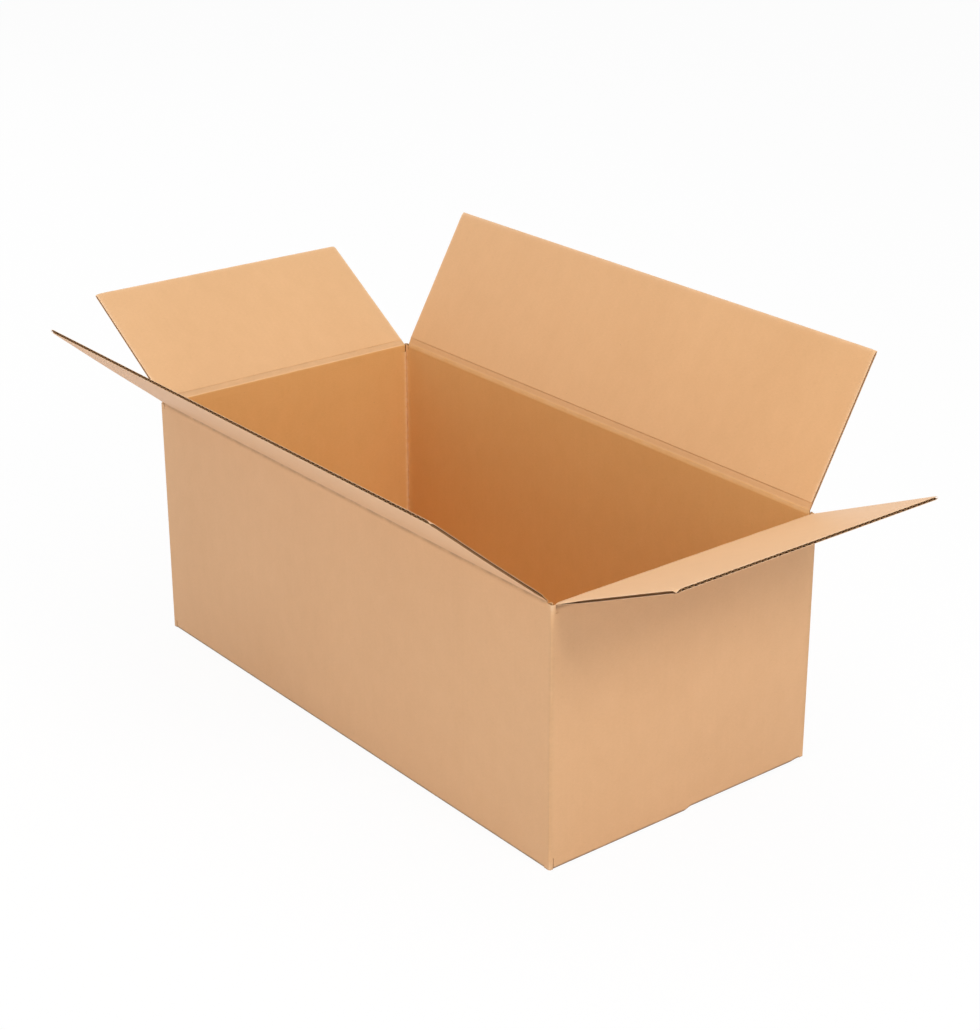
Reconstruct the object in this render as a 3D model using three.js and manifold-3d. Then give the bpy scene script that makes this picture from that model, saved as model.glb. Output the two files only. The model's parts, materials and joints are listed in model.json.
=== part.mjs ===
// An open corrugated shipping box: a slotted carton folded from one creased sheet, its bottom flaps
// glued shut and its four top flaps standing open. Millimetres, +Z up, X along the long side.
// The origin is the middle of the base, on the surface that the box stands on.
import * as THREE from "three";
import { mergeGeometries, mergeVertices } from "three/addons/utils/BufferGeometryUtils.js";
import Module from "manifold-3d";

// Outside of the folded box, up to the creases of the long flaps
const boxLength = 600;
const boxWidth = 300;
const boxHeight = 244;

// Board with one fluted layer between two liners
const boardThickness = 3;
const linerThickness = 0.35;
const mediumThickness = 0.35;
const flutePitch = 6.35;
const fluteSpread = 0.37;
const archSteps = 4;

// Creases: the flaps turn on a line just outside the outer liner
const creaseGap = 0.35;
const axisOffset = 0.2;
const crushedThickness = 1.6;
const creaseBand = 6;
const foldRadius = 2.6;
const foldSteps = 4;
const layerGap = 0.4;

// Flap outlines: how far each flap stops short of the box's outside, and of its partner
const longFlapInset = 7;
const endFlapInset = 4.5;
const meetingGap = 1;
const slotOvercut = 1.5;
const fluteEnd = 10;
const fluteMargin = 1;
const cutOvershoot = 2;

// Bottom seam and the glued joint inside the right end wall
const seamGap = 0.6;
const seamShift = 3;
const tabWidth = 35;
const tabTaper = 9;
const tabEndGap = 8;

// How far each flap leans out of the upright, in degrees
const frontLeanDegrees = 50;
const backLeanDegrees = 29.5;
const leftLeanDegrees = 58.3;
const rightLeanDegrees = 66;

// Values that follow from those above
const halfLength = boxLength / 2;
const halfWidth = boxWidth / 2;
const endCrease = boxHeight - boardThickness - layerGap;
const innerFloor = boardThickness;
const flapDepth = halfWidth - meetingGap / 2;
const longFlapWidth = boxLength - 2 * longFlapInset;
const endFlapWidth = boxWidth - 2 * endFlapInset;

// Points of one solid that are closer than this are the same point
const mergeTolerance = 1e-5;

const wasm = await Module();
wasm.setup();

const kraft = { color: 0xcf9f6d, roughness: 0.88, metalness: 0 };

function toSolid(geometry) {
  const bare = geometry.clone();
  bare.deleteAttribute("normal");
  bare.deleteAttribute("uv");
  const merged = mergeVertices(bare, mergeTolerance);
  return new wasm.Manifold(new wasm.Mesh({
    numProp: 3,
    vertProperties: new Float32Array(merged.attributes.position.array),
    triVerts: new Uint32Array(merged.index.array),
  }));
}

function toGeometry(solid) {
  const mesh = solid.getMesh();
  const geometry = new THREE.BufferGeometry();
  geometry.setAttribute("position", new THREE.BufferAttribute(mesh.vertProperties, 3));
  geometry.setIndex(new THREE.BufferAttribute(mesh.triVerts, 1));
  geometry.computeVertexNormals();
  return geometry;
}

function outline(points) {
  return new THREE.Shape(points.map(([x, y]) => new THREE.Vector2(x, y)));
}

// A flat outline pushed up along Z from one height to another
function prism(shape, bottom, top) {
  const geometry = new THREE.ExtrudeGeometry(shape, { depth: top - bottom, bevelEnabled: false });
  return geometry.translate(0, 0, bottom);
}

// An outline drawn across a wall (first number outward from the box's middle, second number up),
// pushed along the wall and turned to face +Y, then to its own side
function wallRun(points, width, turn) {
  const geometry = new THREE.ExtrudeGeometry(outline(points), { depth: width, bevelEnabled: false });
  geometry.translate(0, 0, -width / 2);
  geometry.rotateX(Math.PI / 2);
  geometry.rotateZ(Math.PI / 2);
  return geometry.rotateZ(turn);
}

// Quarter circle between two directions round a centre, as points of an outline
function arc(centreX, centreY, radius, from, to, steps) {
  return Array.from({ length: steps + 1 }, (_, i) => {
    const angle = from + (to - from) * i / steps;
    return [centreX + radius * Math.cos(angle), centreY + radius * Math.sin(angle)];
  });
}

// Upper end of a wall, from the inner liner down the crushed band to the outer edge of the crease
function creaseEdge(outer, crease) {
  return [
    [outer, crease - creaseGap],
    [outer - crushedThickness, crease - creaseGap - crushedThickness],
    [outer - boardThickness, crease - creaseBand],
  ];
}

// Section of one wall and the bottom flap folded in from it, in one run of board
function wallSection(outer, crease, floor, reach) {
  const inner = outer - boardThickness;
  return [
    ...creaseEdge(outer, crease),
    [inner, floor + boardThickness],
    [reach, floor + boardThickness],
    [reach, floor],
    ...arc(outer - foldRadius, floor + foldRadius, foldRadius, -Math.PI / 2, 0, foldSteps),
  ];
}

// Plan of a folded corner of the sheet, at the front right, up to the slots beside the flaps
function foldedCorner() {
  const reachX = halfLength - longFlapInset;
  const reachY = -halfWidth + endFlapInset;
  const innerX = halfLength - boardThickness;
  const innerY = -halfWidth + boardThickness;
  return [
    [reachX, -halfWidth],
    ...arc(halfLength - foldRadius, foldRadius - halfWidth, foldRadius, -Math.PI / 2, 0, foldSteps),
    [halfLength, reachY],
    [innerX, reachY],
    [innerX, innerY],
    [reachX, innerY],
  ];
}

// Plan of the glued corner, at the back right: the end wall stops at its cut edge, and the back wall
// turns in behind it as the glue tab
function gluedCorner() {
  const reachX = halfLength - longFlapInset;
  const reachY = halfWidth - endFlapInset;
  const innerX = halfLength - boardThickness;
  const innerY = halfWidth - boardThickness;
  return [
    [reachX, innerY],
    [innerX, innerY],
    [innerX, reachY],
    [halfLength, reachY],
    [halfLength, halfWidth],
    [innerX, halfWidth],
    ...arc(innerX - foldRadius, halfWidth - foldRadius, foldRadius, 0, Math.PI / 2, foldSteps),
    [reachX, halfWidth],
  ];
}

// The glue tab on the inside of the right end wall, with its ends cut at a slant
function glueTab() {
  const root = halfWidth - boardThickness;
  const tip = root - tabWidth;
  const low = innerFloor + boardThickness + tabEndGap;
  const high = endCrease - creaseBand - tabEndGap;
  const shape = outline([
    [root, low],
    [root, high],
    [tip, high - tabTaper],
    [tip, low + tabTaper],
  ]);
  const geometry = new THREE.ExtrudeGeometry(shape, { depth: boardThickness, bevelEnabled: false });
  geometry.rotateX(Math.PI / 2);
  geometry.rotateZ(Math.PI / 2);
  return geometry.translate(halfLength - 2 * boardThickness, 0, 0);
}

function carton() {
  const frontReach = -(seamShift - seamGap / 2);
  const backReach = seamShift + seamGap / 2;
  const endReach = halfLength - flapDepth;
  const lowSlot = slotOvercut;
  const highSlot = boxHeight - slotOvercut;
  const corner = prism(outline(foldedCorner()), lowSlot, highSlot);
  const pieces = [
    wallRun(wallSection(halfWidth, boxHeight, 0, frontReach), longFlapWidth, Math.PI),
    wallRun(wallSection(halfWidth, boxHeight, 0, backReach), longFlapWidth, 0),
    wallRun(wallSection(halfLength, endCrease, innerFloor, endReach), endFlapWidth, Math.PI / 2),
    wallRun(wallSection(halfLength, endCrease, innerFloor, endReach), endFlapWidth, -Math.PI / 2),
    corner,
    corner.clone().rotateZ(Math.PI),
    prism(outline(foldedCorner().map(([x, y]) => [-x, y]).reverse()), lowSlot, highSlot),
    prism(outline(gluedCorner()), lowSlot, highSlot),
    glueTab(),
  ];
  return toGeometry(pieces.map(toSolid).reduce((whole, piece) => whole.add(piece)));
}

// The tunnels of a flap's flutes, open past its free edge. Each is flat against one liner and arched
// under the wavy middle layer: X along the crease, Y from the outer liner to the inner one, Z up
function fluteTunnels(width) {
  const count = Math.floor((width - 2 * fluteMargin) / flutePitch);
  const arch = boardThickness - 2 * linerThickness - mediumThickness;
  const spread = flutePitch * fluteSpread;
  const tunnels = Array.from({ length: 2 * count - 1 }, (_, i) => {
    const centre = (i + 1 - count) * flutePitch / 2;
    const outside = i % 2 === 0;
    const liner = axisOffset + (outside ? linerThickness : boardThickness - linerThickness);
    const towards = outside ? 1 : -1;
    const points = Array.from({ length: archSteps + 1 }, (_, step) => {
      const across = 2 * step / archSteps - 1;
      return [centre + across * spread, liner + towards * arch * Math.cos(across * Math.PI / 2)];
    });
    return prism(outline(points), fluteEnd, flapDepth + cutOvershoot);
  });
  return mergeGeometries(tunnels);
}

// Section down a flap: full board, thinned towards the crease
function flapSection() {
  const outer = axisOffset;
  const inner = axisOffset + boardThickness;
  return [
    [outer, creaseGap],
    [outer + crushedThickness, creaseGap + crushedThickness],
    [inner, creaseBand],
    [inner, flapDepth],
    [outer, flapDepth],
  ];
}

function flap(name, width) {
  const board = toSolid(wallRun(flapSection(), width, 0));
  const geometry = toGeometry(board.subtract(toSolid(fluteTunnels(width))));
  const mesh = new THREE.Mesh(geometry, new THREE.MeshStandardMaterial(kraft));
  mesh.name = name;
  return mesh;
}

// A flap on its hinge line: turned to its side of the box, then leaned outward
function hinge(mesh, distance, crease, turn, lean) {
  const side = new THREE.Group();
  const line = new THREE.Group();
  side.rotation.z = turn;
  line.position.set(0, -(distance + axisOffset), crease);
  line.rotation.x = THREE.MathUtils.degToRad(lean);
  line.add(mesh);
  side.add(line);
  return side;
}

const box = new THREE.Group();
const body = new THREE.Mesh(carton(), new THREE.MeshStandardMaterial(kraft));
body.name = "carton_body";
box.add(body);
box.add(hinge(flap("flap_front", longFlapWidth), halfWidth, boxHeight, 0, frontLeanDegrees));
box.add(hinge(flap("flap_back", longFlapWidth), halfWidth, boxHeight, Math.PI, backLeanDegrees));
box.add(hinge(flap("flap_left", endFlapWidth), halfLength, endCrease, -Math.PI / 2, leftLeanDegrees));
box.add(hinge(flap("flap_right", endFlapWidth), halfLength, endCrease, Math.PI / 2, rightLeanDegrees));

export default box;
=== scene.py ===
# Dresses the open corrugated carton: lined board with open flutes at its cut edges, scored creases
# that turn from each wall to its flap, kraft paper on every face, and a plain pale studio around it.
import json
import math

import bpy
import numpy as np
from mathutils import Matrix, Vector


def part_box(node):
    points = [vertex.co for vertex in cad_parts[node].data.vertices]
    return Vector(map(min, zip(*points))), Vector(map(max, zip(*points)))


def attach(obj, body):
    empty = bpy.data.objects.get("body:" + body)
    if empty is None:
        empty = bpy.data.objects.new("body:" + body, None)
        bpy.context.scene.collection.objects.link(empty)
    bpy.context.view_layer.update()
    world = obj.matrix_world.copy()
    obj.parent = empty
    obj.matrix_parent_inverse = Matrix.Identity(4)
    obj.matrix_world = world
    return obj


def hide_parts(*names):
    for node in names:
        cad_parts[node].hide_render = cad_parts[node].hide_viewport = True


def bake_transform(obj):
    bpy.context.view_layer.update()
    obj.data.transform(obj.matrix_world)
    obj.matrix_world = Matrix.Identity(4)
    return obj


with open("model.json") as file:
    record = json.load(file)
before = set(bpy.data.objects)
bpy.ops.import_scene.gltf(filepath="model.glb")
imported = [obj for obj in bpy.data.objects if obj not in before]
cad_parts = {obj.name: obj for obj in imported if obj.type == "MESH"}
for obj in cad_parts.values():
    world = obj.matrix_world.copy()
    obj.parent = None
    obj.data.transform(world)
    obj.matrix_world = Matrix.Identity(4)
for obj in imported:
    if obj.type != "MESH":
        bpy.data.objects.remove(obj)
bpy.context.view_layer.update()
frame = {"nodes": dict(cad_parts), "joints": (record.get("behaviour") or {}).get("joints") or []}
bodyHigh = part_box("carton_body")[1]
joints = {joint["child"]: joint for joint in frame["joints"]}
mm = 0.001
print("frame loaded:", len(frame["nodes"]), "nodes")

board = {
    "thickness": 3.0 * mm,
    "liner": 0.3 * mm,          # paper of each face
    "medium": 0.4 * mm,         # paper of the waves between them
    "pitch": 6.35 * mm,
    "samples": 12,              # points along one wave
    "axisOffset": 0.2 * mm,     # hinge line outside the outer liner
    "creaseBand": 6.0 * mm,     # half the width of a scored crease
    "pinch": 0.18 * mm,         # how far a cut presses the liners together
    "pinchReach": 1.6 * mm,
    "tipPinch": 1.0 * mm,       # and at the free corners of a flap
    "tipReach": 2.6 * mm,
    "recess": 0.8 * mm,         # the waves stop short of a cut edge
    "waveInset": 0.9 * mm,      # and a little more at the sides of a flap
    "glueLine": 0.9,            # share of a liner's thickness where the waves' paper begins
    "edgeRows": np.array([0, 0.4, 0.9, 1.6, 2.6, 3.8, 5.2, 7.0, 9.0]) * mm,     # rows beside a cut edge
    "edgeStart": 12 * mm,       # where the even spacing begins
    "wearReach": 1.3 * mm,      # rubbed paper beside a cut edge
    "wear": 0.6,
    "sharpDegrees": 40,         # steeper edges than this stay hard in the shading
}
full, liner = board["thickness"], board["liner"]
glued = liner * board["glueLine"]
linerShare = liner / full

carton = {
    "halfLength": bodyHigh.x,
    "halfWidth": bodyHigh.y,
    "longSlot": 7.0 * mm,       # flap ends stop this far inside the box's outside
    "endSlot": 4.5 * mm,
    "foldRadius": 2.2 * mm,
    "bottomRadius": 1.5 * mm,
    "slump": 2.9 * mm,          # the end walls' bottom folds settle this much below their flaps
    "arcSteps": 7,
    "slotCut": 1.5 * mm,        # slots stop this far short of the long flaps' creases
    "postFoot": 0.3 * mm,       # and the corners stand this far above the floor
    "gluedFoot": 3.0 * mm,      # the glued corner more so
    "bottomBand": 8.0 * mm,     # where the bottom fold leaves the wall
    "bead": 1.1 * mm,           # paper that bulges beside an inside corner, most at this distance
    "beadPlace": 1.7 * mm,
    "valley": 0.25 * mm,        # the inside corner lies this much deeper in the fold
    # painted highlight on the bulge beside an inside corner, and painted shade in the corner
    "beadHighlight": 0.75,
    "valleyShade": 0.6,
    "cornerShade": 0.14,        # painted shade round an outside corner, where its rounded fold would catch more light
    "footShade": 2.0,           # and painted contact shadow on the bottom folds
    "seamTrim": 2.0 * mm,       # the back outer flap is this much shorter at the glued end
    "wallBow": 0.5 * mm, "seamShift": 3.0 * mm, "seamGap": 0.6 * mm, "bottomReach": 149.5 * mm,
}

# Each flap: turn of its wall and warp of the board in millimetres and degrees; the first of a pair is
# the end at its hinge frame's -X, the second at +X. The score is half the width of the bend, the root
# pinch crushes the cut beside the fold and the corner bends a free corner, each (side, depth, reach)
flaps = {
    "front": {
        "turn": 0.0, "twist": (0, 0), "splay": (2.3, 0.0), "bow": 0.6,
        "score": 4.0, "rootPinch": (1, 0.5, 12), "corner": (1, 0.6, 6.0),
    },
    "back": {
        "turn": 180.0, "twist": (0, 0), "splay": (0, 0), "bow": 0.0,
        "score": 4.0, "rootPinch": (-1, 0.3, 15), "corner": (-1, 0.5, 8.0),
    },
    "left": {
        "turn": -90.0, "twist": (0.0, -0.4), "splay": (0.6, 0.6), "bow": 0.0,
        "score": 6.0, "rootPinch": (1, 0.3, 15), "corner": (1, 0.4, 8.0),
    },
    "right": {
        "turn": 90.0, "twist": (0, 0), "splay": (0, 0), "bow": 0.0,
        "score": 6.0, "rootPinch": (-1, 1.15, 40), "corner": (-1, 1.3, 7.0),
    },
}

# What all flaps share
flapForm = {
    "leanRounds": 20,           # repeats that settle a flap's lean
    "bowEnds": 0.7,             # share of the bow that the whole width has; the middle has the rest too
    "cornerCurve": 1.5,
    "cornerPull": 0.45,         # a bent corner also comes back by this share of its drop
    "rootWidth": 2.4 * mm,      # how far in from its cut side a flap is crushed beside its fold
    # a flap's cut edges are made pale (wear): rubbed paper with a painted highlight along the rims
    "rowStep": 9 * mm, "rowEnd": 14 * mm, "wear": 0.75, "waveStep": 30 * mm,
    "waveRows": (12 * mm, 4 * mm, 1.5 * mm, 0.5 * mm),      # before the waves' free edge
    "waveWear": 0.5, "waveWearReach": 0.8 * mm,
}


def creaseHeight(name):
    return joints[name + "_flap"]["pos_m"][2]


# Height on the flat blank of every flap's fold
creasePlace = creaseHeight("front")

# The inside liner and the waves take their grain from elsewhere on the pattern
insideShift = 0.5
waveShift = 0.2


# Width, depth and lean of a flap as the CAD part has it at rest, found from its box
def measureFlap(name):
    low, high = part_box("flap_" + name)
    pos = joints[name + "_flap"]["pos_m"]
    side = {
        "front": -low.y + pos[1], "back": high.y - pos[1],
        "left": -low.x + pos[0], "right": high.x - pos[0],
    }[name]
    rise = high.z - pos[2]
    offset = board["axisOffset"]
    lean = math.atan2(side, rise)
    for _ in range(flapForm["leanRounds"]):
        lean = math.atan2(side + offset * math.cos(lean), rise - (offset + full) * math.sin(lean))
    depth = math.hypot(side + offset * math.cos(lean), rise - (offset + full) * math.sin(lean))
    width = high.x - low.x if name in ("front", "back") else high.y - low.y
    flaps[name].update(lean=lean, depth=depth, half=width / 2)
    size = round(width / mm, 1), "by", round(depth / mm, 1)
    print(name, "flap:", *size, "mm, leaning", round(math.degrees(lean), 2))


for name in flaps:
    measureFlap(name)


def smoothStep(value):
    value = np.clip(value, 0.0, 1.0)
    return value * value * (3 - 2 * value)


def addObject(name, data):
    made = bpy.data.objects.new(name, data)
    bpy.context.scene.collection.objects.link(made)
    return made


def bellCurve(distance, reach):
    return np.exp(-(distance / reach) ** 2)


# Evenly spaced places from start to end, at most a step apart
def spread(start, end, step):
    count = max(1, int(math.ceil(abs(end - start) / step - 1e-6)))
    return np.linspace(start, end, count + 1)


# One mesh is gathered from several closed sheets of paper, each with its place on the flat blank
class SheetPile:
    def __init__(self):
        self.points = []
        self.places = []
        self.wear = []
        self.faces = []
        self.slots = []
        self.count = 0

    # two surfaces of one sheet as grids of points, closed all round where cells are missing
    def addSheet(self, lower, upper, place, wear, slotIndex, present=None):
        rows, columns = lower.shape[:2]
        if present is None:
            present = np.ones((rows - 1, columns - 1), bool)
        base = self.count
        size = rows * columns
        self.points += [lower.reshape(-1, 3), upper.reshape(-1, 3)]
        self.places += [place.reshape(-1, 3)] * 2
        self.wear += [wear.reshape(-1)] * 2
        self.count += 2 * size

        made = []
        filled = np.pad(present, 1)
        rowSlots = np.broadcast_to(slotIndex, rows - 1)
        for k in range(rows - 1):
            start = len(made)
            for j in range(columns - 1):
                if not present[k, j]:
                    continue
                a = base + k * columns + j
                b, c, d = a + columns, a + columns + 1, a + 1
                made.append((a, b, c, d))
                made.append((a + size, d + size, c + size, b + size))
                sides = (k, j + 1, a, d), (k + 2, j + 1, c, b), (k + 1, j, b, a), (k + 1, j + 2, d, c)
                for row, column, first, second in sides:
                    if not filled[row, column]:
                        made.append((first, second, second + size, first + size))
            self.slots += [int(rowSlots[k])] * (len(made) - start)
        self.faces += made

    def build(self, name, materials):
        points = np.concatenate(self.points)
        used = np.zeros(len(points), bool)
        used[np.array(self.faces).ravel()] = True
        renumber = np.cumsum(used) - 1
        faces = renumber[np.array(self.faces)]
        mesh = bpy.data.meshes.new(name)
        mesh.from_pydata(points[used].tolist(), [], faces.tolist())
        # per point: rubbed wear and painted highlight above zero, painted shade below zero
        place = mesh.attributes.new("boardPlace", "FLOAT_VECTOR", "POINT")
        place.data.foreach_set("vector", np.concatenate(self.places)[used].astype(np.float32).ravel())
        wornAndLit = mesh.attributes.new("boardWearAndLight", "FLOAT", "POINT")
        wornAndLit.data.foreach_set("value", np.concatenate(self.wear)[used].astype(np.float32))
        mesh.polygons.foreach_set("material_index", np.array(self.slots, np.int32))
        for material in materials:
            mesh.materials.append(material)
        mesh.update()
        mesh.shade_smooth()
        mesh.set_sharp_from_angle(angle=math.radians(board["sharpDegrees"]))
        return addObject(name, mesh)


def stack(x, y, z):
    return np.stack(np.broadcast_arrays(x, y, z), -1).astype(float)


# Kraft paper is made with node groups, each from a place on the blank and one number
def newGroup(name, number, default, results):
    group = bpy.data.node_groups.new(name, "ShaderNodeTree")
    group.interface.new_socket("Place", in_out="INPUT", socket_type="NodeSocketVector")
    socket = group.interface.new_socket(number, in_out="INPUT", socket_type="NodeSocketFloat")
    socket.default_value = default
    for label in results:
        group.interface.new_socket(label, in_out="OUTPUT", socket_type="NodeSocketFloat")
    return group, group.nodes.new("NodeGroupInput"), group.nodes.new("NodeGroupOutput")


def mathNode(tree, operation, first, second=None, clamp=False):
    node = tree.nodes.new("ShaderNodeMath")
    node.operation = operation
    node.use_clamp = clamp
    for socket, value in zip(node.inputs, (first, second)):
        if value is None:
            continue
        if isinstance(value, (int, float)):
            socket.default_value = value
        else:
            tree.links.new(value, socket)
    return node.outputs[0]


def timesNode(tree, first, second, clamp=False):
    return mathNode(tree, "MULTIPLY", first, second, clamp)


def groupNode(tree, group):
    node = tree.nodes.new("ShaderNodeGroup")
    node.node_tree = group
    return node


def attributeNode(tree, name):
    node = tree.nodes.new("ShaderNodeAttribute")
    node.attribute_name = name
    return node


def newMaterial(name):
    material = bpy.data.materials.new(name)
    material.use_nodes = True
    return material, material.node_tree, material.node_tree.nodes["Principled BSDF"]


# Noise on the flat blank, stretched along the three axes by one entry of the grain
def grainNode(tree, place, kind):
    stretch, detail, roughness = grain[kind]
    mapping = tree.nodes.new("ShaderNodeMapping")
    mapping.inputs["Scale"].default_value = stretch
    tree.links.new(place, mapping.inputs["Vector"])
    noise = tree.nodes.new("ShaderNodeTexNoise")
    noise.inputs["Scale"].default_value = 1.0
    noise.inputs["Detail"].default_value = detail
    noise.inputs["Roughness"].default_value = roughness
    tree.links.new(mapping.outputs["Vector"], noise.inputs["Vector"])
    return noise.outputs["Fac"]


def rampNode(tree, value, low, high):
    node = tree.nodes.new("ShaderNodeMapRange")
    node.inputs["From Min"].default_value = low
    node.inputs["From Max"].default_value = high
    tree.links.new(value, node.inputs["Value"])
    return node.outputs["Result"]


# Two values added, each times its share
def blendNode(tree, first, firstShare, second, secondShare):
    return mathNode(tree, "ADD", timesNode(tree, first, firstShare), timesNode(tree, second, secondShare))


def mixColour(tree, factor, first, second):
    node = tree.nodes.new("ShaderNodeMix")
    node.data_type = "RGBA"
    for index, value in ((0, factor), (6, first), (7, second)):
        if hasattr(value, "links"):
            tree.links.new(value, node.inputs[index])
        else:
            node.inputs[index].default_value = value
    return node.outputs[2]


grain = {
    # kind of noise: waves per metre along each axis, detail, roughness
    "strands": ((220, 1500, 1500), 3.0, 0.6),
    "crossed": ((900, 300, 900), 2.0, 0.6),
    "broad": ((9, 6, 9), 3.0, 0.5),
    "close": ((70, 45, 70), 3.0, 0.5),
    "dots": ((420, 620, 420), 1.0, 0.4),
    "patches": ((30, 8, 30), 2.0, 0.55),
    "blotch": ((60, 160, 400), 4.0, 0.6),
    # spans that count
    "dotSpan": (0.76, 0.86), "patchSpan": (0.35, 0.7), "blotchSpan": (0.2, 0.6), "toneSpan": (0.34, 0.68),
    # shares that are added up
    "strandShare": 0.65, "crossedShare": 0.35, "broadShare": 0.6, "closeShare": 0.4,
    "fibreShare": 0.55, "cloudShare": 0.45, "washTone": 0.03, "washHeight": 0.012 * mm,
    "speckTone": 0.55, "paintedShadeTone": 0.36,       # shares of the paper's dark tone, for specks and for painted shade
    "fibreRough": 0.22, "rubRough": 0.15, "sheenRough": 0.45,
    "cloudHeight": 0.12 * mm, "bumpStrength": 0.7,
}


# fibres along the paper's run, cloudy formation and a few dark specks
def makeFibreGroup():
    group, given, made = newGroup("kraftFibre", "Speck Amount", 0.5, ("Tone", "Cloud", "Speck"))
    place = given.outputs["Place"]
    strands = grainNode(group, place, "strands")
    crossed = grainNode(group, place, "crossed")
    tone = blendNode(group, strands, grain["strandShare"], crossed, grain["crossedShare"])
    broad = grainNode(group, place, "broad")
    close = grainNode(group, place, "close")
    cloud = blendNode(group, broad, grain["broadShare"], close, grain["closeShare"])
    dots = rampNode(group, grainNode(group, place, "dots"), *grain["dotSpan"])
    speck = timesNode(group, dots, given.outputs["Speck Amount"])
    for label, value in (("Tone", tone), ("Cloud", cloud), ("Speck", speck)):
        group.links.new(value, made.inputs[label])
    return group


# the waves under the liner show as faint lines a flute apart
def makeWashboardGroup():
    group, given, made = newGroup("fluteWashboard", "Pitch", board["pitch"], ("Line",))
    split = group.nodes.new("ShaderNodeSeparateXYZ")
    group.links.new(given.outputs["Place"], split.inputs["Vector"])
    turns = mathNode(group, "DIVIDE", split.outputs["X"], given.outputs["Pitch"])
    wave = mathNode(group, "COSINE", timesNode(group, turns, 2 * math.pi))
    patches = grainNode(group, given.outputs["Place"], "patches")
    line = timesNode(group, wave, rampNode(group, patches, *grain["patchSpan"]))
    group.links.new(line, made.inputs["Line"])
    return group


# marks on the paper: above zero is rubbed wear and painted highlight, made pale; below zero is painted
# shade, made dark; both broken up by blotches
def makeWearAndLightGroup():
    group, given, made = newGroup("wearAndPaintedLight", "WearAndLight", 0.0, ("PaleWearAndHighlight", "PaintedShade"))
    blotch = grainNode(group, given.outputs["Place"], "blotch")
    broken = rampNode(group, blotch, *grain["blotchSpan"])
    rubAndLight = timesNode(group, given.outputs["WearAndLight"], broken, clamp=True)
    below = timesNode(group, given.outputs["WearAndLight"], -1.0)
    shadeMask = timesNode(group, below, broken, clamp=True)
    group.links.new(rubAndLight, made.inputs["PaleWearAndHighlight"])
    group.links.new(shadeMask, made.inputs["PaintedShade"])
    return group


fibreGroup = makeFibreGroup()
washboardGroup = makeWashboardGroup()
wearAndLightGroup = makeWearAndLightGroup()

papers = {
    "kraftOutside": {
        "light": (0.735, 0.425, 0.21), "dark": (0.655, 0.365, 0.17), "wornAndLit": (0.84, 0.60, 0.38),
        "roughness": 0.54, "fibre": 0.05 * mm, "wash": 1, "speck": 0.4, "specular": 0.6, "sheen": 0.08,
    },
    "kraftInside": {
        "light": (0.74, 0.425, 0.19), "dark": (0.655, 0.36, 0.148), "wornAndLit": (0.86, 0.61, 0.39),
        "roughness": 0.5, "fibre": 0.06 * mm, "wash": 1, "speck": 0.5, "specular": 0.75, "sheen": 0.1,
    },
    # the waves' paper: a little darker than the liners, and darkened further as painted shade of the hollow
    # flutes at the cut edges
    "kraftFlutingShaded": {
        "light": (0.36, 0.20, 0.09), "dark": (0.26, 0.14, 0.06), "wornAndLit": (0.55, 0.36, 0.20),
        "roughness": 0.85, "fibre": 0.05 * mm, "wash": 0, "speck": 0.3, "specular": 0.2, "sheen": 0.0,
    },
    # the same inside liner, more saturated and less glossy: painted bounce light and shade for the faces
    # deep inside the box
    "kraftInsideBounceLit": {
        "light": (0.79, 0.462, 0.183), "dark": (0.705, 0.395, 0.14), "wornAndLit": (0.86, 0.61, 0.37),
        "roughness": 0.66, "fibre": 0.06 * mm, "wash": 1, "speck": 0.5, "specular": 0.25, "sheen": 0.1,
    },
}


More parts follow.
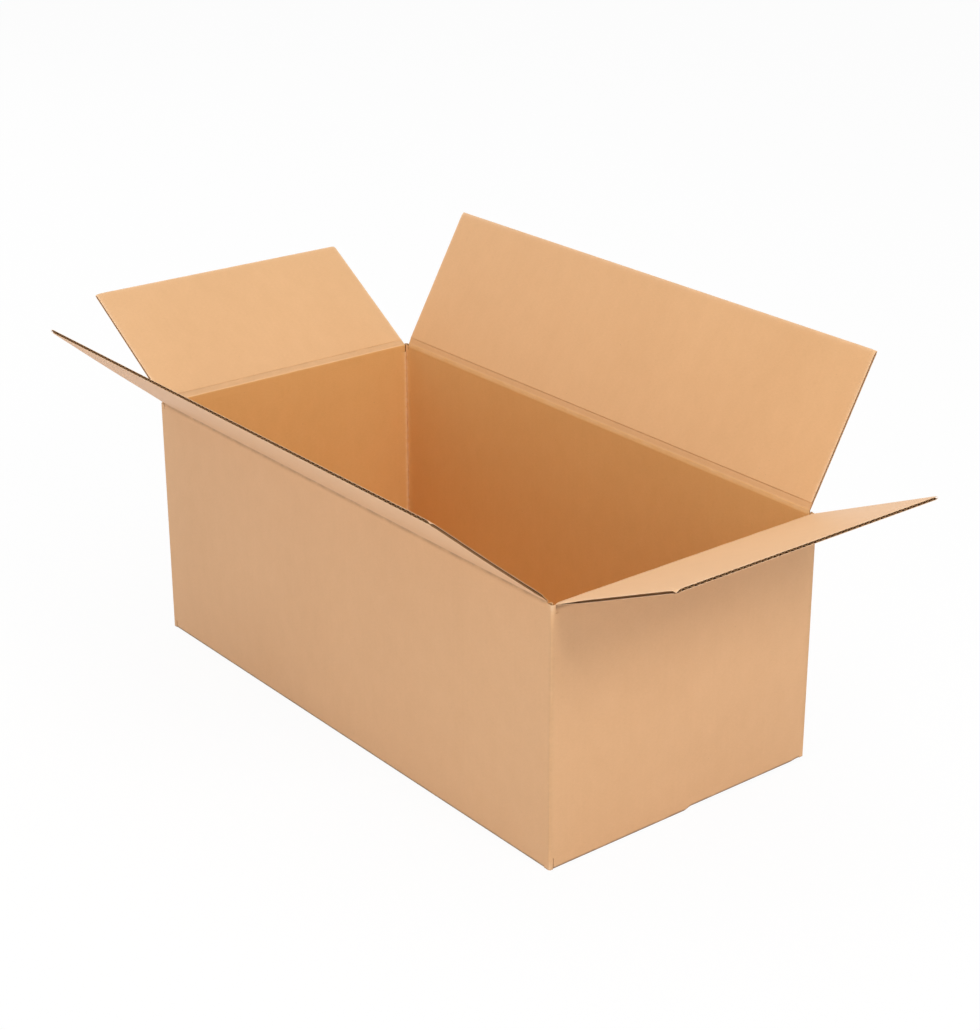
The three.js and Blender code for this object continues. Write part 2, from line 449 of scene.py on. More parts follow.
def makePaper(name, paper):
    material, tree, shader = newMaterial(name)
    place = attributeNode(tree, "boardPlace")
    wear = attributeNode(tree, "boardWearAndLight")
    fibre = groupNode(tree, fibreGroup)
    fibre.inputs["Speck Amount"].default_value = paper["speck"]
    washboard = groupNode(tree, washboardGroup)
    rubAndLight = groupNode(tree, wearAndLightGroup)
    for node in (fibre, washboard, rubAndLight):
        tree.links.new(place.outputs["Vector"], node.inputs["Place"])
    tree.links.new(wear.outputs["Fac"], rubAndLight.inputs["WearAndLight"])

    fibreTone, cloud, line = fibre.outputs["Tone"], fibre.outputs["Cloud"], washboard.outputs["Line"]
    tone = blendNode(tree, fibreTone, grain["fibreShare"], cloud, grain["cloudShare"])
    tone = rampNode(tree, tone, *grain["toneSpan"])
    tone = mathNode(tree, "ADD", tone, timesNode(tree, line, paper["wash"] * grain["washTone"]))
    speckColour = (*[grain["speckTone"] * c for c in paper["dark"]], 1)
    paintedShadeColour = (*[grain["paintedShadeTone"] * c for c in paper["dark"]], 1)
    colour = mixColour(tree, tone, (*paper["dark"], 1), (*paper["light"], 1))
    colour = mixColour(tree, fibre.outputs["Speck"], colour, speckColour)
    # pale for rubbed wear and painted highlight, dark for painted shade
    colour = mixColour(tree, rubAndLight.outputs["PaleWearAndHighlight"], colour, (*paper["wornAndLit"], 1))
    colour = mixColour(tree, rubAndLight.outputs["PaintedShade"], colour, paintedShadeColour)
    tree.links.new(colour, shader.inputs["Base Color"])

    roughness = paper["roughness"] - grain["fibreRough"] / 2
    rough = mathNode(tree, "ADD", timesNode(tree, fibreTone, grain["fibreRough"]), roughness)
    rubbed = timesNode(tree, rubAndLight.outputs["PaleWearAndHighlight"], grain["rubRough"])
    rough = mathNode(tree, "ADD", rough, rubbed, clamp=True)
    tree.links.new(rough, shader.inputs["Roughness"])
    shader.inputs["Specular IOR Level"].default_value = paper["specular"]
    shader.inputs["Sheen Weight"].default_value = paper["sheen"]
    shader.inputs["Sheen Roughness"].default_value = grain["sheenRough"]

    height = timesNode(tree, fibreTone, paper["fibre"])
    height = mathNode(tree, "ADD", height, timesNode(tree, line, paper["wash"] * grain["washHeight"]))
    height = mathNode(tree, "ADD", height, timesNode(tree, cloud, grain["cloudHeight"]))
    bump = tree.nodes.new("ShaderNodeBump")
    bump.inputs["Strength"].default_value = grain["bumpStrength"]
    bump.inputs["Distance"].default_value = 1.0
    tree.links.new(height, bump.inputs["Height"])
    tree.links.new(bump.outputs["Normal"], shader.inputs["Normal"])
    return material


paperMaterials = [makePaper(name, paper) for name, paper in papers.items()]
outsidePaper, insidePaper, shadedFlutingPaper, bounceLitInsidePaper = range(4)
for node in frame["nodes"].values():
    node.data.materials.clear()
    node.data.materials.append(paperMaterials[outsidePaper])
print("papers made:", ", ".join(papers))


# Where each wall's board stands on the flat blank, so that grain and flutes run on round the box
def blankStart(name):
    length = 2 * carton["halfLength"]
    width = 2 * carton["halfWidth"]
    middles = {"right": width / 2, "front": width + length / 2,
               "left": width + length + width / 2, "back": 2 * width + length + length / 2}
    return middles[name]


# Hinge frame of a flap: X along the crease, Y into the box, Z up the flap when upright
def hingeFrame(name):
    joint = joints[name + "_flap"]
    spin = Matrix.Rotation(math.radians(flaps[name]["turn"]), 4, "Z")
    return Matrix.Translation(Vector(joint["pos_m"])) @ spin


def leaned(y, z, angle):
    return y * np.cos(angle) - z * np.sin(angle), y * np.sin(angle) + z * np.cos(angle)


def transformed(points, matrix):
    m = np.array(matrix)
    return points @ m[:3, :3].T + m[:3, 3]


# Lean of a flap's board at each place along its crease
def leanAt(flap, a):
    share = (np.clip(a / flap["half"], -1, 1) + 1) / 2
    first, last = flap["twist"]
    return flap["lean"] + np.radians(first + (last - first) * share)


# How far each point of a flap is pushed out of flat, towards its outside
def flapDrop(flap, a, b):
    half, depth = flap["half"], flap["depth"]
    ends = flapForm["bowEnds"]
    across = ends + (1 - ends) * np.cos(np.clip(a / half, -1, 1) * math.pi / 2)
    bow = flap["bow"] * mm * np.sin(math.pi * np.clip(b / depth, 0, 1)) ** 2 * across
    side, drop, reach = flap["corner"]
    away = np.hypot(half - side * a, depth - b)
    corner = drop * mm * np.clip(1 - away / (reach * mm), 0, 1) ** flapForm["cornerCurve"]
    return bow, corner


# Where the cut end of a flap is crushed beside its fold, and how far up the flap that reaches
def rootPinch(flap, a):
    side, amount, reach = flap["rootPinch"]
    return amount * mm * bellCurve(flap["half"] - side * a, flapForm["rootWidth"]), reach * mm


# Points of a flap: a along its crease, b up the flap, c through the board from the outside
def flapSurface(name, a, b, c):
    flap = flaps[name]
    half, depth = flap["half"], flap["depth"]
    edge = np.minimum(half - np.abs(a), depth - b)
    tip = np.hypot(half - np.abs(a), depth - b)
    near, reach = rootPinch(flap, a)
    middle = full / 2
    pinch = board["pinch"] * bellCurve(edge, board["pinchReach"])
    pinch = np.maximum(pinch, board["tipPinch"] * bellCurve(tip, board["tipReach"]))
    pinch = np.maximum(pinch, near * (1 - smoothStep((b - board["creaseBand"]) / reach)))
    squeezed = middle + (c - middle) * (1 - pinch / middle)
    bow, corner = flapDrop(flap, a, b)
    first, last = flap["splay"]
    wide = a + np.where(a < 0, first, last) * mm * a / half * b / depth
    out = board["axisOffset"] + squeezed - bow - corner
    y, z = leaned(out, b - flapForm["cornerPull"] * corner, leanAt(flap, a))
    return transformed(stack(wide, y, z), hingeFrame(name))


# Places along a flap's width, close together at both cut edges
def widthLine(half, step=board["pitch"]):
    edge, start = board["edgeRows"], board["edgeStart"]
    return np.concatenate([-half + edge, spread(-half + start, half - start, step), half - edge[::-1]])


def edgeWear(distance, reach=board["wearReach"], strength=board["wear"]):
    return strength * np.exp(-(np.maximum(distance, 0) / reach))


# Heights of the waves' paper, low side and high side, at each place across the flutes
def waveHeights(a):
    medium = board["medium"]
    swing = (full - 2 * liner - medium) / 2
    phase = a / board["pitch"] * 2 * math.pi
    centre = full / 2 + swing * np.sin(phase)
    slope = swing * np.cos(phase) * 2 * math.pi / board["pitch"]
    lift = np.minimum(medium / 2 * np.sqrt(1 + slope * slope), medium)
    return centre - lift, centre + lift


# Places across the flutes of a flap of this half width
def waveLine(half):
    return spread(-half + board["waveInset"], half - board["waveInset"], board["pitch"] / board["samples"])


# A flap: two liners and the waves between them, open at the free edge
def makeFlap(name):
    flap = flaps[name]
    half, depth = flap["half"], flap["depth"]
    root = board["creaseBand"]
    pile = SheetPile()
    aLine = widthLine(half)
    bLine = np.concatenate([spread(root, depth - flapForm["rowEnd"], flapForm["rowStep"]),
                            depth - board["edgeRows"][::-1]])
    b, a = np.meshgrid(bLine, aLine, indexing="ij")
    # pale cut edges: rubbed paper with a painted highlight along the rims
    wear = edgeWear(np.minimum(half - np.abs(a), depth - b), strength=flapForm["wear"])
    place = stack(a + blankStart(name), b + creasePlace, 0.0)
    levels = [flapSurface(name, a, b, c) for c in (0.0, liner, full - liner, full)]
    pile.addSheet(levels[1], levels[0], place, wear, outsidePaper)
    pile.addSheet(levels[3], levels[2], place + insideShift, wear, insidePaper)

    first, *last = (depth - row for row in flapForm["waveRows"])
    b, a = np.meshgrid(np.concatenate([spread(root, first, flapForm["waveStep"]), last]), waveLine(half),
                       indexing="ij")
    low, high = waveHeights(a)
    place = stack(a + blankStart(name), b + creasePlace, waveShift)
    wear = edgeWear(depth - b, flapForm["waveWearReach"], flapForm["waveWear"])
    pile.addSheet(flapSurface(name, a, b, np.clip(high, 0, full - glued)),
                  flapSurface(name, a, b, np.clip(low, glued, full)), place, wear, shadedFlutingPaper)
    piece = pile.build("board_" + name, paperMaterials)
    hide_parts("flap_" + name)
    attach(piece, name + "_flap")


crease = {
    "innerBend": 1.0 * mm,      # how far before and after the fold each liner curves
    "outerBend": 1.8 * mm,
    "steps": (11, 8, 22),       # rows up the wall, round the fold and on along the flap
    "scoreEnd": 5.2 * mm,       # thin pressed line on the flap, past the fold
    "scoreWidth": 0.8 * mm,
    "scoreDepth": 0.12 * mm,
    # the score line is also darkened: painted shade
    "scoreShade": 0.24,
    "bandDepth": 0.32 * mm,     # the liner lies this much lower between the fold and that line
    "bandStart": 1.2 * mm,
    "bandEnd": 0.6 * mm,
    "scoreStart": 2 * mm,       # the line begins this far from the flap's sides, and fades in
    "scoreFade": 14 * mm,
    "crushFade": 4 * mm,
    "ragged": 0.10 * mm,        # unevenness of the rubbed fold, and its waves per metre
    "raggedWaves": (210, 83, 1.3),
    "outerPlace": -0.8 * mm,    # valley of the outer liner under a flap that leans out
    "outerWidth": 1.3 * mm,
    "outerDepth": 0.6 * mm,
    # painted shade along that valley, under the leaning flap
    "outerShade": 0.55,
    "outerSpread": 1.5,         # the shade is this much wider than the valley
    # each kind of crease: how far the fold rises and sinks, painted shade on the band between fold and
    # score line, and a pale band beside the fold that is rubbed paper with a painted highlight
    "long": {
        "rise": 3.7 * mm, "sink": 1.0 * mm, "shade": 0.02,
        "rubAndLight": 0.42, "rubPlace": -1.7 * mm, "rubReach": 1.9 * mm,
    },
    "end": {
        "rise": 0.6 * mm, "sink": 0.1 * mm, "shade": 0.16,
        "rubAndLight": 0.35, "rubPlace": 0.3 * mm, "rubReach": 0.8 * mm,
    },
}


# One liner's run through a crease: up the wall, round the fold and on along the flap. It comes with
# the distance past the fold; dip is how far it lies below flat at that distance
def creaseRun(depth, bend, lean, dip):
    band = board["creaseBand"]
    place = board["axisOffset"] + depth
    meet = place * np.tan(lean / 2)
    radius = bend / np.tan(lean / 2)
    up, around, along = (np.linspace(0, 1, count)[:, None] for count in crease["steps"])
    up, along = up[:-1], along[1:]
    past = np.concatenate([(1 - up) * (-band - meet) - up * bend, bend * (2 * around - 1) + 0 * lean,
                           bend + along * (band + meet - bend)])
    low = dip(past)
    count = len(up), len(up) + len(around)
    wall = place - low[:count[0]], (past + meet)[:count[0]]
    angle = around * lean
    arc = radius - low[count[0]:count[1]]
    fold = place - radius + arc * np.cos(angle), meet - bend + arc * np.sin(angle)
    flat = leaned(place - low[count[1]:], (past - meet)[count[1]:], lean)
    y, z = (np.concatenate(parts) for parts in zip(wall, fold, flat))
    return y, z, past


# A scored crease: the board is crushed beside the fold, and turns there from the wall to the flap
def makeCrease(name):
    flap = flaps[name]
    half = flap["half"]
    kind = crease["long" if name in ("front", "back") else "end"]
    a = widthLine(half)[None, :]
    lean = leanAt(flap, a)
    meet = (board["axisOffset"] + full) * math.tan(flap["lean"] / 2)
    line = crease["scoreEnd"] + meet
    endPinch, _ = rootPinch(flap, a)
    close, broad, offset = crease["raggedWaves"]
    ragged = crease["ragged"] * np.sin(a * close) * np.sin(a * broad + offset)
    scored = smoothStep((half - np.abs(a) - crease["scoreStart"]) / crease["scoreFade"])

    def crushed(past):
        return endPinch * smoothStep((past + board["creaseBand"] + meet) / crease["crushFade"])

    def innerDip(past):
        places = [-kind["rise"] - meet, 0, crease["bandStart"], line, line + crease["bandEnd"]]
        deepest = max(kind["sink"], crease["bandDepth"])
        flatDip = np.interp(past, places, [0, kind["sink"], deepest, crease["bandDepth"], 0])
        pressed = scored * crease["scoreDepth"] * bellCurve(past - line, crease["scoreWidth"])
        rubbed = bellCurve(past - kind["rubPlace"], kind["rubReach"])
        return crushed(past) + flatDip + pressed + ragged * rubbed

    def outerDip(past):
        valley = bellCurve(past - crease["outerPlace"], crease["outerWidth"])
        return -crushed(past) - crease["outerDepth"] * valley

    frameHere = hingeFrame(name)
    inset = np.clip(a, -half + board["waveInset"], half - board["waveInset"])

    def surface(depth, bend, dip, across=a):
        y, z, past = creaseRun(depth, bend, lean, dip)
        return transformed(stack(across, y, z), frameHere), past

    inner, past = surface(full, crease["innerBend"], innerDip)
    innerBack, _ = surface(full - liner, crease["innerBend"], innerDip)
    outer, outerPast = surface(0, crease["outerBend"], outerDip)
    outerBack, _ = surface(liner, crease["outerBend"], outerDip)
    coreIn, _ = surface(full - glued, crease["innerBend"], innerDip, inset)
    coreOut, _ = surface(glued, crease["outerBend"], outerDip, inset)

    # painted shade along the outer valley under the flap
    shadeWidth = crease["outerSpread"] * crease["outerWidth"]
    pressed = -crease["outerShade"] * bellCurve(outerPast - crease["outerPlace"], shadeWidth)
    # rubbed paper and painted highlight beside the fold, painted shade on the score line and on the band
    # before it
    foldLightAndShade = kind["rubAndLight"] * bellCurve(past - kind["rubPlace"], kind["rubReach"])
    foldLightAndShade = foldLightAndShade - scored * crease["scoreShade"] * bellCurve(past - line, crease["scoreWidth"])
    foldLightAndShade = foldLightAndShade - kind["shade"] * smoothStep(past / mm) * smoothStep((line - past) / mm)
    place = stack(a + blankStart(name), past + creaseHeight(name), 0.0)
    inside = place + insideShift
    pile = SheetPile()
    pile.addSheet(outerBack, outer, place, pressed, outsidePaper)
    # below the fold the inside liner takes the copy with painted bounce light
    above = past[:-1].mean(axis=1) > 0
    pile.addSheet(inner, innerBack, inside, foldLightAndShade, np.where(above, insidePaper, bounceLitInsidePaper))
    pile.addSheet(coreIn, coreOut, place, 0 * foldLightAndShade, shadedFlutingPaper)
    piece = pile.build("crease_" + name, paperMaterials)
    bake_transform(piece)


for name in flaps:
    makeFlap(name)
    makeCrease(name)
print("flaps and creases made:", ", ".join(flaps))


ring = {
    "slotStep": 1.2 * mm,       # spacing of the columns beside a slot, and of the first row over the foot
    "wallStep": 12.7 * mm,      # and along a wall, two flutes
    "rowStep": 14 * mm,
    "besideFold": (1.0, 2.0, 3.1, 3.5, 4.0, 4.6, 5.3, 6.2, 7.4, 9.0, 11.0, 14.0),   # millimetres
    "decimals": 6,              # places are rounded to a micrometre
    "tolerance": 1e-9,
    "gluedReach": 0.015,        # the glued corner is this far to both sides of the cut
    "swellSpan": (0.012, 0.232), "swellWaves": (21, 0.7, 6.1),
    "swellStart": 0.01, "swellFade": 0.06,      # how far from a fold a wall begins to swell
    "wear": 0.7, "wearReach": 6 * mm, "wearFold": 2.5 * mm,     # the ends of the folds are made paler
    # reach and fade of the painted shade round outside corners, and painted contact shadow on the lowest
    # row
    "foldReach": 3 * mm, "cornerFade": 20 * mm, "footContactShade": 0.9, "footRow": 0.1 * mm,
    # reach of that painted highlight and painted shade
    "beadReach": 1.7 * mm, "valleyReach": 0.5 * mm,
}


# Plan of the walls as one run of board, from the cut edge at the back right round to the tab's fold
def planColumns():
    radius = carton["foldRadius"]
    halfX, halfY = carton["halfLength"], carton["halfWidth"]
    longSlot, endSlot = carton["longSlot"], carton["endSlot"]
    tolerance = ring["tolerance"]
    walls = [
        ("right", Vector((halfX, halfY)), Vector((halfX, -halfY)), endSlot, Vector((-1, 0))),
        ("front", Vector((halfX, -halfY)), Vector((-halfX, -halfY)), longSlot, Vector((0, 1))),
        ("left", Vector((-halfX, -halfY)), Vector((-halfX, halfY)), endSlot, Vector((1, 0))),
        ("back", Vector((-halfX, halfY)), Vector((halfX - full, halfY)), longSlot, Vector((0, -1))),
    ]
    columns = []    # (distance along the sheet, outer point, inner point, name of the cell after it)
    travelled = 0.0
    for index, (name, start, end, slot, inward) in enumerate(walls):
        length = (end - start).length
        along = (end - start) / length
        firstArc = radius if index > 0 else 0.0
        lastSlot = slot - (full if index == 3 else 0.0)
        stops = [spread(firstArc, slot, ring["slotStep"])[:-1],
                 spread(slot, length - lastSlot, ring["wallStep"]),
                 spread(length - lastSlot, length - radius, ring["slotStep"])[1:]]
        extra = [abs(near - away * mm) for near in (0.0, length) for away in ring["besideFold"]]
        line = np.unique(np.round(np.concatenate([*stops, extra]), ring["decimals"]))
        line = line[(line >= firstArc - tolerance) & (line <= length - radius + tolerance)]
        for t in line:
            outer = start + along * t
            fromCorner = min(t, length - t) if index > 0 else length - t
            inner = outer + inward * (full + innerBulge(fromCorner - full))
            if index > 0:
                inner = limitToCorner(inner, start + along * full + inward * full, along, 1)
            inner = limitToCorner(inner, end - along * full + inward * full, along, -1)
            kind = name if slot - tolerance <= t < length - lastSlot - tolerance else "corner"
            columns.append([travelled + t, outer, inner, kind])
        columns[-1][3] = "corner"
        centre = end - along * radius + inward * radius
        innerCorner = end + inward * full - along * full - (inward - along) * carton["valley"]
        for step in range(1, carton["arcSteps"]):
            angle = math.pi / 2 * step / carton["arcSteps"]
            outer = centre - inward * radius * math.cos(angle) + along * radius * math.sin(angle)
            columns.append([travelled + length - radius * (1 - angle), outer, innerCorner, "corner"])
        if index == 3:
            outer = end + Vector((0, -1)) * radius
            columns.append([travelled + length, outer, Vector((outer.x - full, halfY - full)), "corner"])
        travelled += length
    return columns


# How far the inside liner bulges at this distance from a folded corner
def innerBulge(distance):
    share = max(distance, 0.0) / carton["beadPlace"]
    return carton["bead"] * share * math.exp(1 - share)


# A point of the inside, kept from running past the corner
def limitToCorner(point, corner, along, side):
    over = (corner - point).dot(along) * side
    return point + along * side * over if over > 0 else point


# Lower and upper end of the ring over each kind of column
def ringLevels(endBand, longBand):
    low = carton["bottomBand"]
    endLow = low + full
    return {
        "corner": (carton["postFoot"], longBand + board["creaseBand"] - carton["slotCut"]),
        "front": (low, longBand), "back": (low, longBand),
        "left": (endLow, endBand), "right": (endLow, endBand),
    }


# The four walls between their creases, in one run round the box
def makeRing(pile):
    columns = planColumns()
    endBand, longBand = (creaseHeight(name) - board["creaseBand"] for name in ("left", "front"))
    ends = ringLevels(endBand, longBand)
    levels = sorted({round(z, ring["decimals"]) for pair in ends.values() for z in pair})
    footRows = [levels[0], levels[0] + ring["slotStep"], levels[1]]
    levels = np.array(footRows + list(spread(levels[2], levels[-3], ring["rowStep"])) + levels[-2:])
    run = np.array([column[0] for column in columns])
    outer, inner = (np.array([[*column[k]] for column in columns]) for k in (1, 2))
    present = np.zeros((len(levels) - 1, len(columns) - 1), bool)
    for j, column in enumerate(columns[:-1]):
        low, high = ends[column[3]]
        present[:, j] = (levels[:-1] > low - ring["tolerance"]) & (levels[1:] < high + ring["tolerance"])
    z, s = np.meshgrid(levels, run, indexing="ij")
    z[:2] += carton["gluedFoot"] * (np.minimum(s[:2], run[-1] - s[:2]) < ring["gluedReach"])
    lowest, highest = ring["swellSpan"]
    close, offset, broad = ring["swellWaves"]
    rise = np.clip((z - lowest) / (highest - lowest), 0, 1)
    swell = carton["wallBow"] * np.sin(math.pi * rise) * np.sin(s * close + offset) * np.sin(s * broad)
    width, length = 2 * carton["halfWidth"], 2 * carton["halfLength"]
    corners = np.array([0.0, width, width + length, 2 * width + length, 2 * (width + length)])
    fromCorner = np.min(np.abs(run[:, None] - corners[None, :]), axis=1)
    swell = swell * smoothStep((fromCorner - ring["swellStart"]) / ring["swellFade"])[None, :]
    lowEnd = z[:1]
    inward = inner - outer
    inward = inward / np.linalg.norm(inward, axis=1, keepdims=True)

    def surface(share, recess=0.0):
        plan = outer * (1 - share) + inner * share
        level = np.maximum(z, lowEnd + recess)
        level = np.minimum(level, levels[-1] - recess)
        x = plan[None, :, 0] + inward[None, :, 0] * swell
        y = plan[None, :, 1] + inward[None, :, 1] * swell
        return stack(x, y, level)

    place = stack(s, z, 0.0)
    slotEdge = np.minimum(levels[-1] - z, z - levels[0])
    foldLine = fromCorner[None, :] + 0 * z
    wear = edgeWear(slotEdge, ring["wearReach"], ring["wear"]) * bellCurve(foldLine, ring["wearFold"])
    # painted shade round each outside corner, fading out towards its top and bottom
    corner = carton["cornerShade"] * bellCurve(foldLine, ring["foldReach"])
    # painted contact shadow on the lowest row of the ring, at the feet of the corners
    footShadeMask = ring["footContactShade"] * (z < lowEnd + ring["footRow"])
    pressed = wear - corner * smoothStep(slotEdge / ring["cornerFade"]) - footShadeMask
    fromInside = foldLine - full
    # painted highlight on the bulge beside each inside corner, painted shade in the corner itself
    cornerLightAndShade = carton["beadHighlight"] * bellCurve(fromInside - carton["beadPlace"], ring["beadReach"])
    cornerLightAndShade = cornerLightAndShade - carton["valleyShade"] * bellCurve(np.maximum(fromInside, 0), ring["valleyReach"])
    core, recess = linerShare * board["glueLine"], board["recess"]
    inside = place + insideShift
    pile.addSheet(surface(linerShare), surface(0.0), place, pressed, outsidePaper, present)
    # inside of the walls: the copy with painted bounce light
    pile.addSheet(surface(1.0), surface(1 - linerShare), inside, wear + cornerLightAndShade, bounceLitInsidePaper, present)
    pile.addSheet(surface(1 - core, recess), surface(core, recess), place, wear * 0, shadedFlutingPaper, present)


bottom = {
    "wallStep": 2 * mm,         # rows down the wall, the last this far above the fold
    "lastRow": 0.5 * mm,
    "gap": 0.1 * mm,            # the fold's inside corner stands off by this
    "leastBulge": 0.2 * mm,
    "rows": (0.8, 1.8, 3.0, 4.4, 6.0, 8.0),     # millimetres past the fold
    "rowStep": 14, "rowEnd": 6,
    "tipRows": (4.0, 2.0, 1.0, 0.4, 0.0),       # and before the free edge
    "columnStep": 20 * mm,
    "seamFade": 8 * mm,         # the slump's step at the seam, and its fade at the glued end
    "seamColumns": 5, "seamDrop": 0.7, "endStart": 12 * mm, "endFade": 10 * mm, "hangFade": 5 * mm,
    "trimReach": 30 * mm, "trimStart": 12 * mm, "trimFade": 40 * mm,
    "contactShadePlace": 0.45,         # painted contact shadow, at this share of the fold's radius past the fold's start
    "contactShadeWidth": 1.0 * mm, "wearFade": 6 * mm, "waveEnd": 0.5 * mm,
}


# How much of the slump each place of an end wall's bottom fold has: less over the back outer flap
def slumpShare(name, half, a):
    if name != "right":
        return 1.0 + 0 * a
    past = smoothStep((a - carton["seamShift"]) / bottom["seamFade"])
    last = smoothStep((a - half + bottom["endStart"]) / bottom["endFade"])
    return 1 - bottom["seamDrop"] * past - (1 - bottom["seamDrop"]) * last


# The bottom fold and flap of one wall: down the wall, round the fold and in under the box
def makeBottomRun(pile, name):
    flap = flaps[name]
    long = name in ("front", "back")
    half = flap["half"]
    outerN = carton["halfWidth"] if long else carton["halfLength"]
    floor = 0.0 if long else full
    radius = carton["bottomRadius"]
    shift = carton["seamShift"] * (1 if name == "back" else -1)
    reach = shift + carton["seamGap"] / 2 if long else outerN - carton["bottomReach"]
    foldTop = floor + radius
    insideCorner = floor + full + bottom["gap"]
    profile = []    # (outward, up) of the outer and the inner liner, down the board
    upright = spread(floor + carton["bottomBand"], foldTop, bottom["wallStep"])[:-1]
    for z in [*upright, foldTop + bottom["lastRow"], foldTop]:
        lift = max(z, insideCorner)
        bulge = innerBulge(max(lift - floor - full, bottom["leastBulge"]))
        profile.append(((outerN, z), (outerN - full - bulge, lift)))
    foldStart = len(profile) - 1
    for step in range(1, carton["arcSteps"] + 1):
        angle = math.pi / 2 * step / carton["arcSteps"]
        outerPoint = (outerN - radius + radius * math.cos(angle), foldTop - radius * math.sin(angle))
        profile.append((outerPoint, (outerN - full - bottom["gap"], insideCorner)))
    under = (outerN - reach) / mm - full / mm
    rows = [bottom["rows"], spread(bottom["rowStep"], under - bottom["rowEnd"], bottom["rowStep"]),
            under - np.array(bottom["tipRows"])]
    for t in np.concatenate(rows) * mm:
        n = outerN - full - t
        profile.append(((n, floor), (n, floor + full + innerBulge(t))))
    outerLine, innerLine = (np.array([point[side] for point in profile]) for side in (0, 1))
    sag = [np.zeros(len(outerLine)) for _ in range(2)]
    if not long:
        for index, line in enumerate((outerLine, innerLine)):
            hanging = smoothStep((line[:, 0] - outerN + carton["longSlot"]) / bottom["hangFade"])
            fade = np.clip(1 - (line[:, 1] - floor - full) / (carton["bottomBand"] - full), 0, 1)
            sag[index] = carton["slump"] * hanging * fade
    run = np.concatenate([[0], np.cumsum(np.linalg.norm(np.diff(outerLine, axis=0), axis=1))])
    seamLines = carton["seamShift"] + np.linspace(0, bottom["seamFade"], bottom["seamColumns"])
    aLine = np.unique(np.concatenate([widthLine(half, bottom["columnStep"]), seamLines]))
    turn = Matrix.Rotation(math.radians(flap["turn"]), 4, "Z")

    def surface(share, columnsAt, keep=slice(None), recess=0.0):
        line = outerLine[keep] * (1 - share) + innerLine[keep] * share
        n = line[:, 0].copy()
        n[-1] += recess
        a, nGrid = np.meshgrid(columnsAt, n)
        _, zGrid = np.meshgrid(columnsAt, line[:, 1])
        hang = (sag[0] * (1 - share) + sag[1] * share)[keep]
        zGrid = zGrid - hang[:, None] * slumpShare(name, half, columnsAt)
        atEnd = np.clip((-a - half + bottom["trimReach"]) / bottom["trimReach"], 0, 1)
        trim = atEnd * np.clip((run[keep][:, None] - bottom["trimStart"]) / bottom["trimFade"], 0, 1)
        a = a + trim * (carton["seamTrim"] if name == "back" else 0)
        return transformed(stack(a, -nGrid, zGrid), turn)

    runGrid, aGrid = np.meshgrid(run, aLine, indexing="ij")
    wear = edgeWear(np.minimum(half - np.abs(aGrid), run[-1] - runGrid))
    pastFold = runGrid - run[foldStart]
    # painted contact shadow along the bottom fold, where it meets the floor
    contactShade = bellCurve(pastFold - bottom["contactShadePlace"] * radius, bottom["contactShadeWidth"])
    wear = wear * smoothStep(pastFold / bottom["wearFade"]) - carton["footShade"] * contactShade
    place = stack(aGrid + blankStart(name), -runGrid, 0.0)
    inside = place + insideShift
    core, recess = linerShare * board["glueLine"], board["recess"]
    pile.addSheet(surface(0.0, aLine), surface(linerShare, aLine), place, wear, outsidePaper)
    # inside of the bottom flaps: the copy with painted bounce light
    pile.addSheet(surface(1 - linerShare, aLine), surface(1.0, aLine), inside, wear, bounceLitInsidePaper)
    aCore = np.clip(aLine, -half + recess, half - recess)
    tips = len(bottom["tipRows"])
    keep = slice(None) if long else slice(None, -tips)
    pile.addSheet(surface(core, aCore, keep), surface(1 - core, aCore, keep, recess * long),
                  place[keep], wear[keep] * 0, shadedFlutingPaper)
    if not long:
        makeBottomWaves(pile, name, outerLine[-tips - 1:], half, turn)


# Open flutes at the free edge of an inner bottom flap
def makeBottomWaves(pile, name, outerLine, half, turn):
    aWave = waveLine(half)
    low, high = waveHeights(aWave)
    n = outerLine[:, 0].copy()
    n[-1] += bottom["waveEnd"]
    a, nGrid = np.meshgrid(aWave, n)
    floor = outerLine[0, 1]

    def surface(height):
        lift = np.clip(height, glued, full - glued)
        return transformed(stack(a, -nGrid, floor + lift + 0 * nGrid), turn)

    place = stack(a + blankStart(name), nGrid, waveShift)
    pile.addSheet(surface(low), surface(high), place, 0 * a, shadedFlutingPaper)


tab = {
    "width": 35.0 * mm, "taper": 9.0 * mm, "low": 14.0 * mm, "high": 226.6 * mm,
    "step": 4 * mm, "rowEnd": 3 * mm,
    "endRows": (1.6 * mm, 0.7 * mm, 0),     # before the free edge
    "sideRows": (0, 0.004, 0.012),          # shares of the height, the same at the top
    "sideStart": 0.03, "sideStep": 0.06,
    "blankPlace": 2.0, "pinch": 2,          # of what a flap's edges have
}


# The glue tab, flat on the inside of the right end wall
def makeTab(pile):
    x = carton["halfLength"] - full
    root = carton["halfWidth"] - carton["foldRadius"]
    tip = root - tab["width"]
    yLine = np.concatenate([spread(root, tip + tab["rowEnd"], tab["step"]), tip + np.array(tab["endRows"])])
    sides = np.array(tab["sideRows"])
    start = tab["sideStart"]
    vLine = np.concatenate([sides, spread(start, 1 - start, tab["sideStep"]), 1 - sides[::-1]])
    v, y = np.meshgrid(vLine, yLine, indexing="ij")
    taper = tab["taper"] * (root - y) / (root - tip)
    low = tab["low"] + taper
    high = tab["high"] - taper
    z = low + (high - low) * v
    near = np.minimum(y - tip, np.minimum(z - low, high - z))
    wear = edgeWear(near)
    pinch = board["pinch"] * tab["pinch"] * bellCurve(near, board["pinchReach"])
    place = stack(tab["blankPlace"] + y, z, 0.0)
    inside = place + insideShift
    back = x - full + pinch
    pile.addSheet(stack(x, y, z), stack(x - liner, y, z), place, wear, outsidePaper)
    pile.addSheet(stack(back + liner, y, z), stack(back, y, z), inside, wear, insidePaper)
    y = np.clip(y, tip + board["recess"], None)
    pile.addSheet(stack(x - glued, y, z), stack(back + glued, y, z), place, wear * 0, shadedFlutingPaper)


